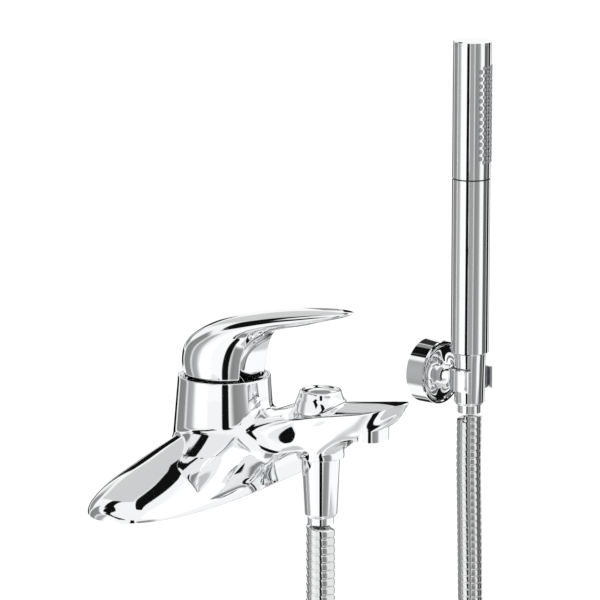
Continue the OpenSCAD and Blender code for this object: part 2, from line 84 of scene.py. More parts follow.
def direction(azimuth, elevation):
    """The way to a compass bearing from +Y towards +X and an angle above the horizon, both in degrees."""
    a, e = math.radians(azimuth), math.radians(elevation)
    return Vector((math.sin(a) * math.cos(e), math.cos(a) * math.cos(e), math.sin(e)))


def card(name, start, end, width, level, end_level=None, soft=0.25, distance=3.0,
         centre=(0.05, -0.03, 0.05)):
    """A flat card between two directions from a centre. Its width is in degrees; its brightness runs from
    one level to the other along it, and its edges fade out over the soft share of its half width."""
    a, b = direction(*start), direction(*end)
    towards, along = (a + b).normalized(), (b - a).normalized()
    half_length = distance * math.tan(a.angle(b) / 2)
    half_width = distance * math.tan(math.radians(width / 2))
    bpy.ops.mesh.primitive_plane_add(size=2)
    made = bpy.context.object
    made.name = name
    turn = Matrix((along, towards.cross(along), towards)).transposed().to_4x4()
    made.data.transform(Matrix.Translation(Vector(centre) + towards * distance) @ turn
                        @ Matrix.Diagonal((half_length, half_width, 1, 1)))
    made.visible_camera = False
    made.visible_shadow = False
    made.visible_diffuse = False
    board = bpy.data.materials.new(name + "_board")
    board.use_nodes = True
    tree = board.node_tree
    tree.nodes.remove(tree.nodes["Principled BSDF"])
    place = add_node(tree, "ShaderNodeTexCoord")
    split = add_node(tree, "ShaderNodeSeparateXYZ", links={"Vector": place.outputs["UV"]})
    last_level = level if end_level is None else end_level
    glow = add_node(tree, "ShaderNodeMapRange", {"To Min": level, "To Max": last_level},
                    {"Value": split.outputs["X"]})
    shine = add_node(tree, "ShaderNodeEmission", links={"Strength": glow.outputs["Result"]})
    clear = add_node(tree, "ShaderNodeBsdfTransparent")
    fades = []
    for axis, reach in (("X", soft * half_width / half_length), ("Y", soft)):
        # The distance from the nearer edge, from 0 at an edge to 0.5 in the middle.
        off = add_node(tree, "ShaderNodeMath", {"operation": "PINGPONG"}, {"Value": split.outputs[axis]})
        off.inputs[1].default_value = 0.5
        fades.append(add_node(tree, "ShaderNodeMapRange",
                              {"interpolation_type": "SMOOTHSTEP", "From Max": max(min(reach, 1) / 2, 0.001)},
                              {"Value": off.outputs["Value"]}))
    both = add_node(tree, "ShaderNodeMath", {"operation": "MULTIPLY"}, {"Value": fades[0].outputs["Result"]})
    tree.links.new(fades[1].outputs["Result"], both.inputs[1])
    blend = add_node(tree, "ShaderNodeMixShader", links={"Fac": both.outputs["Value"]})
    tree.links.new(clear.outputs["BSDF"], blend.inputs[1])
    tree.links.new(shine.outputs["Emission"], blend.inputs[2])
    tree.links.new(blend.outputs["Shader"], tree.nodes["Material Output"].inputs["Surface"])
    made.data.materials.append(board)


world = bpy.data.worlds.new("white_room")
world.use_nodes = True
world.node_tree.nodes["Background"].inputs["Color"].default_value = (1, 1, 1, 1)
world.node_tree.nodes["Background"].inputs["Strength"].default_value = 1.02
bpy.context.scene.world = world

# The floor is a smooth pale sheet, so far below the mixer that the low cards stand above it.
bpy.ops.mesh.primitive_plane_add(size=80, location=(0.1, 0, -3.4))
floor = bpy.context.object
floor.name = "pale_floor"
floor.data.transform(floor.matrix_world)
floor.matrix_world = Matrix.Identity(4)
floor_paint = bpy.data.materials.new("pale_floor_paint")
floor_paint.use_nodes = True
floor_shader = floor_paint.node_tree.nodes["Principled BSDF"]
floor_shader.inputs["Base Color"].default_value = linear("fafafa")
floor_shader.inputs["Roughness"].default_value = 1
floor_shader.inputs["Emission Color"].default_value = (1, 1, 1, 1)
floor_shader.inputs["Emission Strength"].default_value = 0.1
floor.data.materials.append(floor_paint)

BLACK = 0.006
# Soft boxes on both sides of the camera.
card("softbox_right", (84, 24), (196, 24), 58, 1.3, soft=0.4)
card("softbox_left", (276, -18), (316, -18), 62, 1.2, soft=0.3, distance=3.1)
# Grey walls: behind on the left, behind the mixer, and to the right of the camera.
card("grey_back", (36, 36), (62, 36), 46, 0.68, soft=0.1, distance=3.3)
card("grey_back_low", (22, 4), (46, 4), 16, 0.3, soft=0.4, distance=3.2)
card("grey_left", (310, -4), (346, -4), 78, 0.6, 0.28, soft=0.3, distance=3.2)
card("grey_left_back", (340, -4), (22, -4), 78, 0.3, 0.24, soft=0.2, distance=3.4)
card("grey_front", (180, -14), (232, -14), 70, 0.42, 0.2, soft=0.4, distance=3.2)
card("grey_low", (80, -42), (190, -42), 62, 0.74, 0.6, soft=0.3, distance=3.3)
card("grey_low_left", (250, -56), (330, -56), 40, 0.66, soft=0.4, distance=3.2)
# Black flags: one long slanted strip over the right, a hood over the back, and one strip round the camera.
card("flag_slanted", (63, 36), (140, 78), 8, BLACK, soft=0.1, distance=2.6)
card("flag_slanted_end", (50, -4), (50, 11), 8, BLACK, distance=2.6)
card("flag_low_back", (24, -10), (54, -10), 12, BLACK, soft=0.4, distance=2.6)
card("hood_left", (262, 20), (300, 50), 15, BLACK, distance=2.7)
card("hood_middle", (294, 48), (356, 47), 22, BLACK, soft=0.2, distance=2.8)
card("hood_right", (350, 49), (40, 47), 20, BLACK, soft=0.2, distance=2.7)
card("flag_by_camera", (239, -66), (239, 30), 19, BLACK, soft=0.3, distance=2.6)
# Upright flags that stand close round the handset. Each has its bearing, its width and its brightness.
HANDSET_AXIS = (341.5, 27.5)
HANDSET_FLAGS = [(266, 17, BLACK), (243, 26, 0.38), (42, 20, 0.03), (22, 16, 0.3), (101, 13, 0.25),
                 (129, 23, BLACK), (156, 30, 0.14)]
for number, (bearing, width, level) in enumerate(HANDSET_FLAGS):
    card("handset_flag_%d" % number, (bearing, -57), (bearing, 57), width, level, soft=0.2, distance=0.14,
         centre=(HANDSET_AXIS[0] * MM, HANDSET_AXIS[1] * MM, -0.03))

# ---------------------------------------------------------------------------------------------------
# Hose: a 1.25 m interlocked shower hose. Chromed brass strip is wound on a 15 mm mandrel, and the edge of
# each turn hooks over the last, so it shows as bands 4.4 mm wide with a fine groove between them.
# It hangs from the mixer's outlet, which shares one upright axis with the diverter, and rises to the handset.
OUTLET_Y = -57.5
HOSE_ROUTE = [
    (0, -57.5, -22), (0, -57.5, -40), (0, -57.5, -60), (-1, -57.5, -110), (-4, -58, -170), (-6, -58, -235),
    (-4, -57, -300), (7, -54, -365), (34, -47, -430), (76, -37, -486), (128, -25, -520),
    (180, -12, -530), (232, 1, -518), (281, 12, -482), (318, 21, -427), (339, 26, -365),
    (347, 28, -300), (348, 28.5, -235), (346, 28, -170), (343, 27.5, -115), (341.5, 27.5, -80),
    (341.5, 27.5, -62), (341.5, 27.5, -45.5)]
HOSE_RADIUS = 7.5 * MM
BAND = 4.4 * MM
BAND_PROFILE = [0.94, 0.985, 1.0, 1.0, 1.0, 1.0, 1.0, 0.985]
TURN_STEPS = 24


def smooth_line(points, steps):
    """Points of a smooth curve through the given ones, with a number of steps between two of them."""
    line = []
    for i in range(len(points) - 1):
        a, b = points[max(i - 1, 0)], points[i]
        c, d = points[i + 1], points[min(i + 2, len(points) - 1)]
        for k in range(steps):
            t = k / steps
            line.append(0.5 * (2 * b + (c - a) * t + (2 * a - 5 * b + 4 * c - d) * t * t
                               + (3 * b - a - 3 * c + d) * t ** 3))
    return line + [points[-1]]


def even_line(line, gap):
    """The same line with points an even gap apart."""
    spaced, left = [line[0]], gap
    for a, b in zip(line, line[1:]):
        length = (b - a).length
        while left <= length:
            spaced.append(a.lerp(b, left / length))
            left += gap
        left -= length
    return spaced


def wound_strip(line, radius, pitch, sides, profile):
    """A strip wound along a line. The profile gives its radius at even places across one turn's width."""
    across = len(profile)
    gap = pitch / sides / 2
    fine = even_line(line, gap)
    reach = line[-1] - line[0]
    side = Vector((-reach.y, reach.x, 0)).normalized()
    points, faces = [], []
    steps = int((len(fine) - 3) * gap / pitch * sides) - sides
    for t in range(steps + 1):
        angle = 2 * math.pi * t / sides
        for p in range(across):
            place = (t / sides + p / across) * pitch / gap
            i = min(int(place), len(fine) - 2)
            centre = fine[i].lerp(fine[i + 1], place - i)
            along = (fine[min(i + 2, len(fine) - 1)] - fine[max(i - 1, 0)]).normalized()
            u = along.cross(side).normalized()
            v = u.cross(along)
            points.append(centre + profile[p] * radius * (math.cos(angle) * u + math.sin(angle) * v))
    for t in range(steps):
        for p in range(across):
            a, b = t * across + p, (t + 1) * across + p
            if p < across - 1:
                faces.append((a, b, b + 1, a + 1))
            elif t + 1 + sides <= steps:
                faces.append((a, b, (t + 1 + sides) * across, (t + sides) * across))
    return points, faces, fine


route_line = smooth_line([Vector(p) * MM for p in HOSE_ROUTE], 12)
points, faces, hose_centre = wound_strip(route_line, HOSE_RADIUS, BAND, TURN_STEPS, BAND_PROFILE)
hose_mesh = bpy.data.meshes.new("interlocked_hose")
hose_mesh.from_pydata(points, [], faces)
hose = bpy.data.objects.new("interlocked_hose", hose_mesh)
bpy.context.scene.collection.objects.link(hose)
# The strip's two cut ends are closed inside the ferrules.
ends = bmesh.new()
ends.from_mesh(hose_mesh)
bmesh.ops.holes_fill(ends, edges=[e for e in ends.edges if e.is_boundary], sides=0)
bmesh.ops.recalc_face_normals(ends, faces=ends.faces)
for face in ends.faces:
    face.smooth = True
ends.to_mesh(hose_mesh)
ends.free()


def plated_metal(name, colour, low, high, ripple, ripple_size):
    """Polished plating: mirror bright, with faint haze in patches 22 mm wide, which runs the roughness from
    low to high, and the soft ripple of polishing. The ripple's height and size are in millimetres."""
    material = bpy.data.materials.new(name)
    material.use_nodes = True
    tree = material.node_tree
    shader = tree.nodes["Principled BSDF"]
    shader.inputs["Base Color"].default_value = linear(colour)
    shader.inputs["Metallic"].default_value = 1
    place = add_node(tree, "ShaderNodeTexCoord")
    haze = add_node(tree, "ShaderNodeTexNoise", {"Scale": 45, "Detail": 3}, {"Vector": place.outputs["Object"]})
    rough = add_node(tree, "ShaderNodeMapRange",
                     {"From Min": 0.3, "From Max": 0.7, "To Min": low, "To Max": high},
                     {"Value": haze.outputs["Fac"]})
    waves = add_node(tree, "ShaderNodeTexNoise", {"Scale": 1 / (ripple_size * MM), "Detail": 1},
                     {"Vector": place.outputs["Object"]})
    bump = add_node(tree, "ShaderNodeBump", {"Strength": 1, "Distance": ripple * MM},
                    {"Height": waves.outputs["Fac"]})
    tree.links.new(rough.outputs["Result"], shader.inputs["Roughness"])
    tree.links.new(bump.outputs["Normal"], shader.inputs["Normal"])
    return material


# Chrome on brass strip: bright, but its base colour is a little greyer than the castings', which is painted
# shade for the grooves between its bands.
hose.data.materials.append(plated_metal("chromed_strip_with_painted_groove_shade", "dcdddd", 0.05, 0.1, 0.01, 4))
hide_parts("hose")
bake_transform(hose)
hose_length = sum((b - a).length for a, b in zip(hose_centre, hose_centre[1:]))


# ---------------------------------------------------------------------------------------------------
# Mixer body: one brass casting, polished and chromed. Two arms reach over the tap holes like a low bridge,
# and the spout grows out of their front with a crisp edge round its top. The hose outlet's boss flows out of
# the underside of the spout.
def drawn_out(name, sections):
    """A ring of points drawn out by extrusion through each section in turn. It stays open at both ends."""
    count = len(sections[0])
    bpy.ops.mesh.primitive_circle_add(vertices=count, radius=1)
    piece = bpy.context.object
    piece.name = name
    for vertex, point in zip(piece.data.vertices, sections[0]):
        vertex.co = point
    bpy.ops.object.mode_set(mode="EDIT")
    bpy.ops.mesh.select_all(action="SELECT")
    for before, section in zip(sections, sections[1:]):
        bpy.ops.mesh.extrude_region_move()
        cage = bmesh.from_edit_mesh(piece.data)
        ring = [v for v in cage.verts if v.select]
        for start, end in zip(before, section):
            nearest = min(ring, key=lambda v: (v.co - start).length_squared)
            ring.remove(nearest)
            nearest.co = end
        bmesh.update_edit_mesh(piece.data)
    bpy.ops.object.mode_set(mode="OBJECT")
    return piece


BODY_LENGTH, BODY_DEPTH, FOOT_Y = 242.6, 72, -3
# The arms' height at distances from the middle, the places of their sections, and a section's angles.
ARM_HEIGHTS = [(0, 30), (16, 28.6), (30, 26.2), (50, 23), (70, 18.7), (90, 14.2), (105, 11), (115, 8.2),
               (121.3, 3)]
ARM_STATIONS = [0, 8, 16, 27, 42, 60, 78, 94, 106, 114.5, 119, 121]
ARM_ANGLES = [0, 14, 30, 42, 55, 70, 90, 115, 140, 163, 180]
# How square the arms' section and the foot's outline are: 2 is an ellipse, and more is squarer.
ARM_CURVE, FOOT_CURVE = 1.8, 2.5


def arm_height(x):
    """Height of the arms at a distance from the middle."""
    for (x0, h0), (x1, h1) in zip(ARM_HEIGHTS, ARM_HEIGHTS[1:]):
        if abs(x) <= x1:
            return h0 + (h1 - h0) * (abs(x) - x0) / (x1 - x0)
    return ARM_HEIGHTS[-1][1]


def arm_section(x):
    """The arms' section from the front foot over the top to the back foot, and back under the arms."""
    half = BODY_DEPTH / 2 * (1 - abs(2 * x / BODY_LENGTH) ** FOOT_CURVE) ** (1 / FOOT_CURVE)
    power = 2 / ARM_CURVE
    section = []
    for angle in ARM_ANGLES:
        c, s = math.cos(math.radians(angle)), max(math.sin(math.radians(angle)), 0)
        y = FOOT_Y - half * math.copysign(abs(c) ** power, c)
        section.append(Vector((x, y, arm_height(x) * s ** power)) * MM)
    section += [Vector((x, FOOT_Y + half * share, 0)) * MM for share in (0.5, -0.5)]
    return section


stations = [-x for x in reversed(ARM_STATIONS)] + ARM_STATIONS[1:]
body = drawn_out("mixer_casting", [arm_section(x) for x in stations])

# The spout's sections from its root to its tip. Each gives half its top, its side and half its underside, as
# points outward from the middle plane.
SPOUT = [
    [[(0, -43, 40.9), (8.2, -43, 39.2), (16.2, -41, 33.4)], (16.4, -42.5, 29), (14.8, -45.5, 22.5),
     [(0, -44.5, 17.5), (6.5, -46.2, 17.5), (11.8, -50.5, 18)]],
    [[(0, -57.5, 42), (7.8, -57.5, 40.6), (15.2, -57.5, 36.8)], (15.1, -57.5, 31), (13.9, -57.5, 24),
     [(0, -57.5, 18), (6.5, -57.5, 18), (12.8, -57.5, 18.5)]],
    [[(0, -70, 43.7), (7.5, -70, 42.5), (14.8, -70.5, 39.2)], (14.5, -70, 33.5), (13.3, -67.5, 26),
     [(0, -70.6, 20), (6.6, -68.9, 19.5), (11.6, -64.5, 19)]],
    [[(0, -80, 44.9), (7.2, -80, 43.8), (14.2, -80.5, 40.9)], (13.6, -79.5, 35.5), (12.2, -77.5, 29.5),
     [(0, -76.5, 25.4), (5.8, -76, 25.4), (10.6, -75.5, 26)]],
    [[(0, -90, 46.1), (6.6, -90, 45.2), (13, -90, 42.6)], (12, -88.5, 38), (10.8, -86.5, 32.5),
     [(0, -85.5, 27.6), (5.4, -85.5, 27.7), (9.8, -85.2, 28.6)]],
    [[(0, -99, 47.1), (5.3, -98.8, 46.6), (10.6, -98, 45)], (9.8, -96, 41), (8.6, -94, 36.5),
     [(0, -93.5, 31.8), (4.6, -93.3, 32), (7.8, -93, 33)]],
    [[(0, -105, 47.6), (3.6, -104.8, 47.4), (7.2, -103.5, 46.6)], (6.6, -101.6, 43.5), (5.6, -100, 40),
     [(0, -100, 36), (2.9, -99.8, 36.1), (4.9, -99.6, 36.9)]],
    [[(0, -108.3, 47.7), (2, -108, 47.6), (3.8, -107, 47.2)], (3.5, -106, 45.2), (3, -105, 43.4),
     [(0, -104.5, 41), (1.5, -104.3, 41), (2.8, -103.9, 41.4)]]]


def spout_grid(section):
    """A spout section as a grid of points, from the underside's row to the top's, and from -X to +X."""
    top, high, low, under = section
    grid = []
    for row in (under, low, high, top):
        half = row if isinstance(row, list) else [None, None, row]
        if half[0] is None:
            share = 1 / 3 if row is low else 2 / 3
            half = [tuple(a + (b - a) * share for a, b in zip(under[k], top[k])) for k in (0, 1)] + [row]
        grid.append([Vector((-x, y, z)) * MM for x, y, z in reversed(half[1:])]
                    + [Vector((x, y, z)) * MM for x, y, z in half])
    return grid


bpy.ops.object.mode_set(mode="EDIT")
bpy.ops.mesh.select_mode(type="FACE")
bpy.ops.mesh.select_all(action="DESELECT")
cage = bmesh.from_edit_mesh(body.data)
# The spout's root: four rows of five points on the front of the arms, between the housing and the foot.
root_grid = [[arm_section(x)[row] for x in (-16, -8, 0, 8, 16)] for row in (2, 3, 4, 5)]


def select_patch(cage, grid):
    """Selects the faces of a cage that lie between the points of a grid."""
    for i in range(len(grid) - 1):
        for j in range(len(grid[0]) - 1):
            middle = (grid[i][j] + grid[i + 1][j] + grid[i + 1][j + 1] + grid[i][j + 1]) / 4
            nearest = min(cage.faces, key=lambda f: (f.calc_center_median() - middle).length_squared)
            nearest.select_set(True)


def place_grid(piece, before, after):
    """Moves the selected points, which lie on one grid, to the same places of another grid."""
    cage = bmesh.from_edit_mesh(piece.data)
    chosen = [v for v in cage.verts if v.select]
    for row_a, row_b in zip(before, after):
        for start, end in zip(row_a, row_b):
            nearest = min(chosen, key=lambda v: (v.co - start).length_squared)
            chosen.remove(nearest)
            nearest.co = end
    bmesh.update_edit_mesh(piece.data)


select_patch(cage, root_grid)
bmesh.update_edit_mesh(body.data)
grids = [root_grid] + [spout_grid(s) for s in SPOUT]
for before, after in zip(grids, grids[1:]):
    bpy.ops.mesh.extrude_region_move()
    place_grid(body, before, after)

# The boss: the spout's underside between its first and its third section, drawn down to a circle.
BOSS_RADIUS, BOSS_FOOT = 12.4, 13.7


def boss_grid(radius, z):
    """The boss's foot as a grid of 5 by 3 points whose rim is a circle."""
    def at(angle):
        turn = math.radians(angle)
        return Vector((radius * math.sin(turn), OUTLET_Y + radius * math.cos(turn), z)) * MM
    middle = [Vector((share * radius, OUTLET_Y, z)) * MM for share in (-1, -0.5, 0, 0.5, 1)]
    return [[at(a) for a in (-60, -30, 0, 30, 60)], middle, [at(a) for a in (-120, -150, 180, 150, 120)]]


bpy.ops.mesh.select_all(action="DESELECT")
cage = bmesh.from_edit_mesh(body.data)
under_grid = [grids[k][0] for k in (1, 2, 3)]
select_patch(cage, under_grid)
bmesh.update_edit_mesh(body.data)
boss_rings = [under_grid, boss_grid(12.5, 15.6), boss_grid(BOSS_RADIUS, BOSS_FOOT)]
for before, after in zip(boss_rings, boss_rings[1:]):
    bpy.ops.mesh.extrude_region_move()
    place_grid(body, before, after)
bpy.ops.mesh.select_mode(type="VERT")
bpy.ops.mesh.select_all(action="DESELECT")
bpy.ops.mesh.select_non_manifold()
bpy.ops.mesh.fill_holes(sides=0)
bpy.ops.mesh.select_all(action="SELECT")
bpy.ops.mesh.normals_make_consistent(inside=False)
bpy.ops.object.mode_set(mode="OBJECT")


def crease_line(piece, points, sharpness):
    """Sharpens the cage's edges that join the given points in turn."""
    cage = bmesh.new()
    cage.from_mesh(piece.data)
    layer = cage.edges.layers.float.get("crease_edge") or cage.edges.layers.float.new("crease_edge")
    cage.verts.ensure_lookup_table()
    chain = [min(cage.verts, key=lambda v: (v.co - p).length_squared) for p in points]
    for a, b, value in zip(chain, chain[1:], sharpness):
        edge = cage.edges.get((a, b))
        if edge is not None:
            edge[layer] = value
    cage.to_mesh(piece.data)
    cage.free()


def drawn_through(piece, rounds=6, keep=()):
    """Moves the cage's points until the smooth surface passes through where they stood."""
    goals = [v.co.copy() for v in piece.data.vertices]
    smooth = piece.modifiers.new("smooth", "SUBSURF")
    smooth.levels = smooth.render_levels = 1
    for _ in range(rounds):
        shown = piece.evaluated_get(bpy.context.evaluated_depsgraph_get())
        reached = [shown.data.vertices[i].co.copy() for i in range(len(goals))]
        for i, vertex in enumerate(piece.data.vertices):
            if i not in keep:
                vertex.co += 0.8 * (goals[i] - reached[i])
        piece.data.update()
        bpy.context.view_layer.update()
    piece.modifiers.remove(smooth)


def finish_smooth(piece, levels):
    """Subdivides a cage for good and gives it smooth shading."""
    smooth = piece.modifiers.new("smooth", "SUBSURF")
    smooth.levels = smooth.render_levels = levels
    bpy.ops.object.select_all(action="DESELECT")
    piece.select_set(True)
    bpy.context.view_layer.objects.active = piece
    bpy.ops.object.modifier_apply(modifier="smooth")
    bpy.ops.object.shade_smooth()


# Crisp edges: the foot's front and back, both sides of the spout's top, and the rim of the boss.
for row in (0, len(ARM_ANGLES) - 1):
    crease_line(body, [arm_section(x)[row] for x in stations], [1] * len(stations))
for side in (0, -1):
    crease_line(body, [g[-1][side] for g in grids[1:]], [0.5, 0.65, 0.75, 0.75, 0.7, 0.6, 0.4])
foot = boss_rings[-1]
crease_line(body, foot[0] + [foot[1][-1]] + foot[2][::-1] + [foot[1][0], foot[0][0]], [1] * 14)
# The points round the spout's root stay where the cage has them, which keeps its hollows soft.
root = {i for i, v in enumerate(body.data.vertices)
        if abs(v.co.x) < 0.065 and -0.04 < v.co.y and v.co.z > 0.001}
drawn_through(body, keep=root)
finish_smooth(body, 3)


def fair_region(piece, centres, reach, repeats):
    """Evens out the surface around some points, most at the points and not at all beyond the reach. It fades
    out between 8 and 1 mm above the foot, and between 36 and 48 mm in front, to leave foot and spout alone."""
    group = piece.vertex_groups.new(name="fair")
    for vertex in piece.data.vertices:
        away = min((vertex.co - c).length for c in centres)
        share = max(0.0, 1 - away / reach)
        above_foot = min(1.0, max(0.0, (vertex.co.z - 1 * MM) / (7 * MM)))
        behind_spout = min(1.0, max(0.0, (vertex.co.y + 48 * MM) / (12 * MM)))
        group.add([vertex.index], min(1.0, 2.5 * share) * above_foot * behind_spout, "REPLACE")
    even = piece.modifiers.new("even", "SMOOTH")
    even.vertex_group = "fair"
    even.factor = 0.5
    even.iterations = repeats
    bpy.ops.object.modifier_apply(modifier="even")
    piece.vertex_groups.clear()


ROOT_HOLLOWS = [(22, -30, 21), (20, -24, 26), (34, -24, 20), (46, -24, 18), (17, -38, 18), (27, -33, 14),
                (8, -38, 14)]
fair_region(body, [Vector((side * x, y, z)) * MM for side in (-1, 1) for x, y, z in ROOT_HOLLOWS],
            reach=30 * MM, repeats=160)

# The cartridge housing: a plain upright sleeve with a thin rim. Its foot runs out into the arms in a small
# fillet and into the spout in a wider one.
HOUSING_SEGMENTS, FILLET_STEPS = 96, 8
RIM_RADIUS, RIM_Z, RIM_INNER = 24.4, 51, 23.0
casting = BVHTree.FromObject(body, bpy.context.evaluated_depsgraph_get())


def housing_radius(z):
    """Radius of the sleeve, which widens a little downwards."""
    return RIM_RADIUS + 2.1 * max(0, (RIM_Z - z) / 27) ** 1.4


def housing_foot(angle):
    """Points of the fillet from the sleeve's wall out to the casting, for one direction. The last one is sunk
    into the casting."""
    out = Vector((math.cos(angle), math.sin(angle), 0))
    front = max(0, -math.sin(angle)) ** 6
    reach = 2.6 + 5.6 * front
    edge = out * (housing_radius(34) + 0.8 + reach) * MM
    hit, normal, _, _ = casting.ray_cast(edge + Vector((0, 0, 0.1)), Vector((0, 0, -1)))
    slope = -normal.dot(out) / normal.z
    z_wall = hit.z / MM - reach * slope
    wall = out * housing_radius(z_wall + reach) * MM + Vector((0, 0, (z_wall + reach) * MM))
    corner = out * housing_radius(z_wall) * MM + Vector((0, 0, z_wall * MM))
    curve = []
    for k in range(FILLET_STEPS + 1):
        t = k / FILLET_STEPS
        curve.append((1 - t) ** 2 * wall + 2 * t * (1 - t) * corner + t * t * hit)
    return curve + [hit + out * 1.2 * MM - Vector((0, 0, 1.6 * MM))]


angles = [2 * math.pi * k / HOUSING_SEGMENTS for k in range(HOUSING_SEGMENTS)]
feet = [housing_foot(a) for a in angles]


def circle(radius, z, centre=(0, 0), segments=HOUSING_SEGMENTS):
    """A level ring of points. Its sizes are in millimetres."""
    turns = [2 * math.pi * k / segments for k in range(segments)]
    x, y = centre
    return [Vector((x + radius * math.cos(t), y + radius * math.sin(t), z)) * MM for t in turns]


rim_profile = [(21, 36), (RIM_INNER, 36), (RIM_INNER, 50.4), (RIM_INNER + 0.25, 50.9), (RIM_INNER + 0.5, RIM_Z),
               (RIM_RADIUS - 0.4, RIM_Z), (RIM_RADIUS - 0.1, 50.85), (RIM_RADIUS, 50.5)]
sleeve_sections = [circle(r, z) for r, z in rim_profile]
sleeve_sections += [circle(housing_radius(z), z) for z in (49.5, 48)]
sleeve_sections += [[f[k] for f in feet] for k in range(FILLET_STEPS + 2)]
sleeve_sections.append(circle(20, 6))
sleeve = drawn_out("cartridge_housing", sleeve_sections)
bpy.ops.object.mode_set(mode="EDIT")
bpy.ops.mesh.select_all(action="DESELECT")
bpy.ops.mesh.select_non_manifold()
bpy.ops.mesh.fill_holes(sides=0)
bpy.ops.mesh.select_all(action="SELECT")
bpy.ops.mesh.normals_make_consistent(inside=False)
bpy.ops.object.mode_set(mode="OBJECT")
bpy.ops.object.shade_smooth_by_angle(angle=math.radians(38))
bpy.ops.object.select_all(action="DESELECT")
sleeve.select_set(True)
body.select_set(True)
bpy.context.view_layer.objects.active = body
bpy.ops.object.join()

# Chrome over nickel on cast and polished brass: mirror bright with a neutral, faintly cool colour.
body.data.materials.clear()
body.data.materials.append(plated_metal("chromed_cast_brass", "f1f2f3", 0.02, 0.04, 0.003, 12))
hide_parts("mixer_body")
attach(body, "mixer")

# ---------------------------------------------------------------------------------------------------
# Deck seals and inlets: two flat rubber rings in grooves of the body's foot seal it to the bath's deck. Each
# inlet holds a rubber washer, a woven steel screen, and a check valve moulded in acetal.
def moulded(name, colour, low, high, grain, depth, metallic=0.0):
    """A plain surface with a fine grain, which runs its roughness from low to high, tints it and lifts it a
    little. The grain's width and depth are in millimetres, and the width is as coarse as it needs to show."""
    material = bpy.data.materials.new(name)
    material.use_nodes = True
    tree = material.node_tree
    shader = tree.nodes["Principled BSDF"]
    shader.inputs["Metallic"].default_value = metallic
    place = add_node(tree, "ShaderNodeTexCoord")
    noise = add_node(tree, "ShaderNodeTexNoise", {"Scale": 1 / (grain * MM), "Detail": 4},
                     {"Vector": place.outputs["Object"]})
    tone = add_node(tree, "ShaderNodeMapRange", {"To Min": 0.93, "To Max": 1.05},
                    {"Value": noise.outputs["Fac"]})
    tint = add_node(tree, "ShaderNodeVectorMath", {"operation": "SCALE"}, {"Scale": tone.outputs["Result"]})
    tint.inputs[0].default_value = linear(colour)[:3]
    rough = add_node(tree, "ShaderNodeMapRange", {"To Min": low, "To Max": high},
                     {"Value": noise.outputs["Fac"]})
    bump = add_node(tree, "ShaderNodeBump", {"Distance": depth * MM}, {"Height": noise.outputs["Fac"]})
    tree.links.new(tint.outputs["Vector"], shader.inputs["Base Color"])
    tree.links.new(rough.outputs["Result"], shader.inputs["Roughness"])
    tree.links.new(bump.outputs["Normal"], shader.inputs["Normal"])
    return material


def give_surface(names, material):
    """Gives one material to pieces that keep their drawn shape. A space stands between their names."""
    for name in names.split():
        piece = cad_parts[name]
        piece.data.materials.clear()
        piece.data.materials.append(material)


# Black rubber: matt with a faint bloom.
seal_rubber = moulded("black_seal_rubber", "1a1a1b", 0.6, 0.8, 0.7, 0.02)
# Stainless steel: satin, with the fine even grain of drawn wire.
satin_steel = moulded("satin_stainless_steel", "b9bbbd", 0.22, 0.36, 0.5, 0.008, 1.0)
# White acetal: smooth and waxy.
white_acetal = moulded("white_acetal", "e6e4dd", 0.35, 0.5, 1.0, 0.01)
give_surface("deck_gasket inlet_washers", seal_rubber)
give_surface("inlet_screens", satin_steel)
give_surface("check_valve_hot check_valve_cold", white_acetal)

# ---------------------------------------------------------------------------------------------------
# Cartridge: two ceramic discs between acetal mouldings. The lever's steel stem turns a carrier in the shell,
# and slides the upper disc over the lower one. A nickelled brass nut clamps it all in the housing.

# Grey plastic: smooth and dull.
grey_moulding = moulded("grey_moulded_plastic", "6f7276", 0.35, 0.5, 0.8, 0.01)
# Alumina, lapped flat: white and very smooth, close to a gloss.
lapped_ceramic = moulded("lapped_alumina_ceramic", "ece9e2", 0.12, 0.2, 0.4, 0.002)
# Nickelled brass: a silver painted far darker than real nickel, which is painted shade for the gap under the
# lever inside the housing's rim.
nickelled_brass_painted_shade = moulded("nickelled_brass_painted_shade", "8b8780", 0.3, 0.45, 0.8, 0.01, 1.0)
give_surface("cartridge_base cartridge_shell", white_acetal)
give_surface("cartridge_port_seal", seal_rubber)
give_surface("fixed_ceramic_disc moving_ceramic_disc", lapped_ceramic)
give_surface("disc_slider cartridge_carrier", grey_moulding)
give_surface("cartridge_stem pivot_pin", satin_steel)
# The nut's nickel is real, and its darkness is painted shade for the gap inside the housing's rim.
give_surface("cartridge_nut", nickelled_brass_painted_shade)

# ---------------------------------------------------------------------------------------------------
# Lever: die-cast zinc, polished and chromed. A round skirt drops inside the housing's rim, its dome sweeps
# forward into a thin flat handle, and a hollow down its front hides the fixing screw behind a plug.

# Each section is a bent tube's: its back or top point, its front or under point, its half width, and how
# far its front is hollowed.
LEVER = [
    ((20.6, 49.2), (-20.6, 49.2), 20.6, 5.1), ((20.9, 50.5), (-20.9, 50.4), 20.9, 5.4),
    ((21.8, 54.5), (-21.6, 54), 21.7, 6.1), ((22.2, 59.5), (-22.2, 58.5), 22.2, 6.6),
    ((21.3, 65), (-22.9, 62.8), 22.2, 6.9), ((18.4, 70.3), (-23.9, 66.8), 21.9, 6.3),
    ((12.4, 75), (-25.2, 70.6), 21.2, 4.6), ((4, 79.6), (-27.3, 73.8), 20.4, 2.4),
    ((-6.5, 83.4), (-30.6, 76.6), 19.3, 0.9), ((-18, 86.1), (-35.6, 78.9), 17.9, 0.4),
    ((-29, 88.2), (-42.6, 81), 16.3, 0.2), ((-40, 89.8), (-50, 82.9), 14.5, 0),
    ((-50, 90.9), (-57, 84.9), 12.5, 0), ((-60, 91.8), (-63.5, 86.8), 10.2, 0),
    ((-68.5, 92.2), (-69.5, 88.5), 7.6, 0), ((-73.6, 92.1), (-73.4, 89.8), 4.8, 0),
    ((-75.8, 91.7), (-75.6, 90.8), 2.2, 0)]
LEVER_ANGLES = [0, 24, 48, 70, 90, 108, 126, 141, 151, 166, 180]
HOLLOW_EDGE = 141
